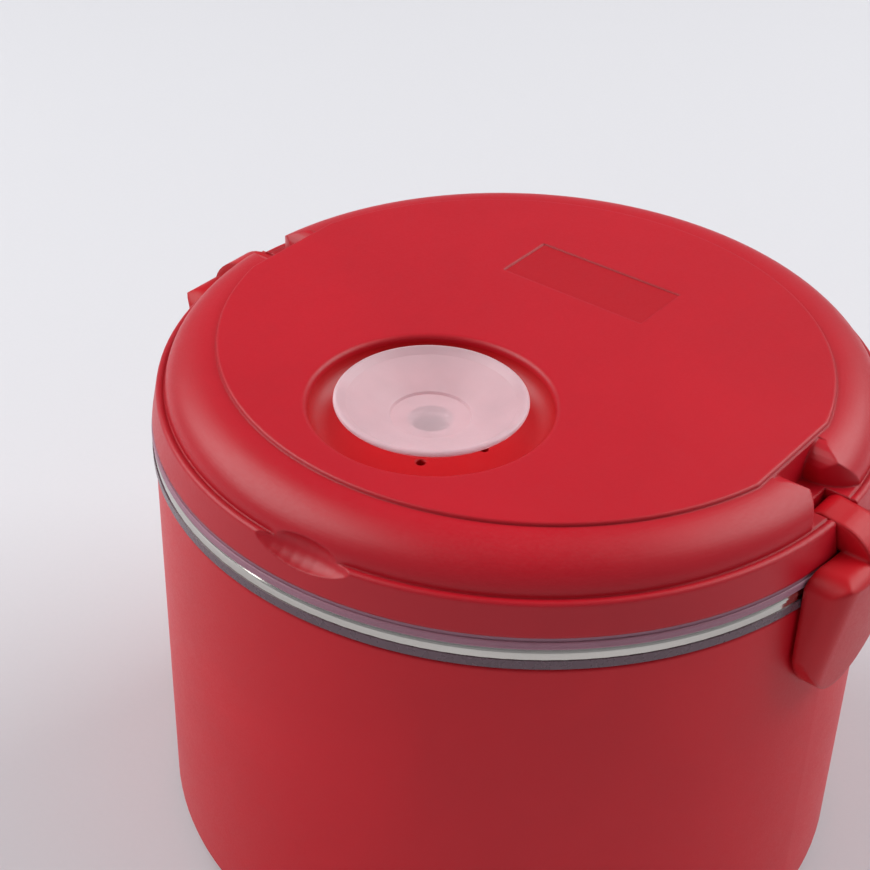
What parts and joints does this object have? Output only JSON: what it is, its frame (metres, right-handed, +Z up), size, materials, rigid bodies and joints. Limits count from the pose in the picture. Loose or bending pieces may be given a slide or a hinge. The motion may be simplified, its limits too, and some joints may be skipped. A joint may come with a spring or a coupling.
{
  "type": "electric lunch box",
  "caption": "Round heated lunch carrier with a lift-out steel bowl, a lift-off lid held by side latches, a push-down steam vent and a mains inlet.",
  "frame": {"origin": "on the table under the centre of the housing", "axes": "+Z up, -Y towards the thumb notch and the vent, latches on +X and -X, mains inlet on +Y"},
  "size_m": [0.1876, 0.1692, 0.1306],
  "materials": {
    "red_housing": "glossy moulded polypropylene",
    "red_base": "fine-textured moulded polypropylene",
    "screw_steel": "zinc-plated steel",
    "foot_rubber": "matte rubber",
    "well_aluminium": "drawn aluminium",
    "cast_aluminium": "turned cast aluminium",
    "heater_sheath": "heat-tinted steel sheath",
    "clamp_steel": "zinc-plated sheet steel",
    "thermostat_body": "phenolic resin",
    "fuse_body": "metal can",
    "shield_steel": "galvanised sheet steel",
    "inlet_black": "moulded nylon",
    "pin_brass": "nickel-plated brass",
    "wire_brown": "insulated wire",
    "wire_blue": "insulated wire",
    "lens_amber": "clear amber plastic",
    "lamp_glass": "neon lamp glass",
    "bowl_steel": "polished stainless steel",
    "smoke_plastic": "smoky translucent polypropylene",
    "red_lid": "satin-gloss moulded polypropylene",
    "liner_plastic": "natural polypropylene",
    "gasket_silicone": "translucent silicone",
    "pin_steel": "ground steel",
    "red_latch": "glossy moulded polypropylene",
    "milky_plastic": "milky translucent silicone",
    "seal_rubber": "nitrile rubber",
    "plug_silicone": "silicone"
  },
  "bodies": {
    "carrier": {"housing": "red_housing", "base_cover": "red_base", "base_screws": "screw_steel", "feet": "foot_rubber", "well": "well_aluminium", "heat_plate": "cast_aluminium", "heater_element": "heater_sheath", "element_clamp": "clamp_steel", "clamp_nut": "screw_steel", "thermostat": "thermostat_body", "thermal_fuse": "fuse_body", "fuse_clip": "clamp_steel", "heat_shield": "shield_steel", "shield_nuts": "screw_steel", "inlet_socket": "inlet_black", "inlet_pins": "pin_brass", "inlet_screws": "screw_steel", "earth_tag": "pin_brass", "wire_live": "wire_brown", "wire_link": "wire_brown", "wire_heater": "wire_brown", "wire_neutral": "wire_blue", "pilot_lens": "lens_amber", "pilot_lamp": "lamp_glass"},
    "bowl": {"bowl": "bowl_steel", "bowl_ring": "smoke_plastic"},
    "lid": {"lid_cover": "red_lid", "lid_liner": "liner_plastic", "lid_gasket": "gasket_silicone", "latch_pin_right": "pin_steel", "latch_pin_left": "pin_steel"},
    "latch_right": {"latch_right": "red_latch"},
    "latch_left": {"latch_left": "red_latch"},
    "vent": {"vent_button": "milky_plastic", "vent_o_ring": "seal_rubber", "vent_plug": "plug_silicone"}
  },
  "joints": [
    {"name": "bowl_lift", "type": "slide", "parent": "carrier", "child": "bowl", "axis": [0, 0, 1], "range_m": [0, 0.08]},
    {"name": "lid_lift", "type": "slide", "parent": "bowl", "child": "lid", "axis": [0, 0, 1], "range_m": [0, 0.015]},
    {"name": "latch_right_swing", "type": "hinge", "parent": "lid", "child": "latch_right", "pos_m": [0.0793, 0, 0.1172], "axis": [0, -1, 0], "range_deg": [0, 95]},
    {"name": "latch_left_swing", "type": "hinge", "parent": "lid", "child": "latch_left", "pos_m": [-0.0793, 0, 0.1172], "axis": [0, 1, 0], "range_deg": [0, 95]},
    {"name": "vent_press", "type": "slide", "parent": "lid", "child": "vent", "axis": [0, 0, -1], "range_m": [0, 0.0025]}
  ],
  "couplings": [
    {"joint": "latch_right_swing", "follows": "lid_lift", "rad_per_m": 110.5},
    {"joint": "latch_left_swing", "follows": "lid_lift", "rad_per_m": 110.5}
  ]
}
